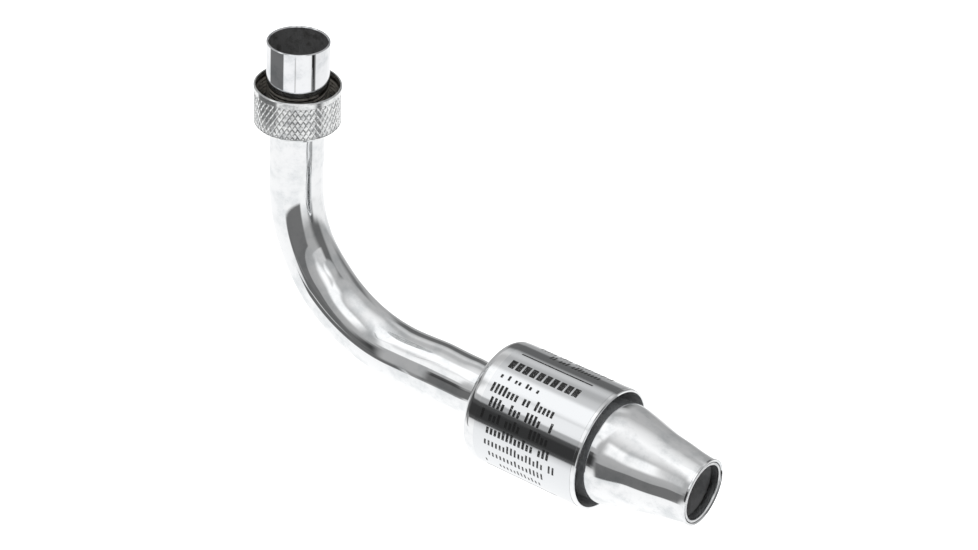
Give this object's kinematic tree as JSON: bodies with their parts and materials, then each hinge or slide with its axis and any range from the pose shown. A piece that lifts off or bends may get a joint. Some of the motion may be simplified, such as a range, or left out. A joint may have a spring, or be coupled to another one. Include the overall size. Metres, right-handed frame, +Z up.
{
  "type": "aerated gas burner mixing tube",
  "caption": "Bent chromed mixing tube of a bunsen-type gas burner, with a knurled union nut and open spigot on top, and a shielded air inlet with a tapered cone below.",
  "frame": {"origin": "on the upright leg's axis, in the top face of the seat gasket, where the union nut pulls the assembly up against the burner that holds it", "axes": "+Z up the burner spigot's axis, +X along the lower leg towards the inlet cone's tip, +Y across"},
  "size_m": [0.2208, 0.0511, 0.1502],
  "materials": {
    "chromed_tube": "bright chrome plate on bent steel tube",
    "chromed_nut": "bright plated, diamond knurled outside and threaded inside",
    "chromed_shield": "mirror-polished plate",
    "spun_chrome": "spun cone, plated, with soft dents and spinning lines",
    "polished_steel": "polished stainless steel",
    "satin_steel": "satin stainless steel",
    "wire_steel": "woven stainless wire gauze",
    "graphite_fibre": "matt graphite fibre sheet",
    "brass": "turned brass",
    "label_foil": "metallised label foil with printed grey bars, no lettering"
  },
  "bodies": {
    "tube_assembly": {"mixing_tube": "chromed_tube", "burner_spigot": "chromed_tube", "seat_flange": "satin_steel", "seat_gasket": "graphite_fibre", "shield_sleeve": "chromed_shield", "shield_cap": "polished_steel", "cap_ferrule": "satin_steel", "cap_rivet_1": "polished_steel", "cap_rivet_2": "polished_steel", "cap_rivet_3": "polished_steel", "instruction_label": "label_foil", "inlet_cone": "spun_chrome", "socket_liner": "polished_steel", "air_port_cage": "satin_steel", "insect_screen": "wire_steel", "screen_band_rear": "polished_steel", "screen_band_front": "polished_steel", "tube_mouth_ring": "brass", "cone_rivet_1": "polished_steel", "cone_rivet_2": "polished_steel", "cone_rivet_3": "polished_steel"},
    "washer": {"slip_washer": "brass"},
    "nut": {"union_nut": "chromed_nut"}
  },
  "joints": [
    {"name": "nut_slide", "type": "slide", "parent": "tube_assembly", "child": "washer", "axis": [0, 0, 1], "range_m": [-0.02, 0]},
    {"name": "nut_spin", "type": "hinge", "parent": "washer", "child": "nut", "pos_m": [0, 0, 0], "axis": [0, 0, 1], "continuous": true}
  ]
}
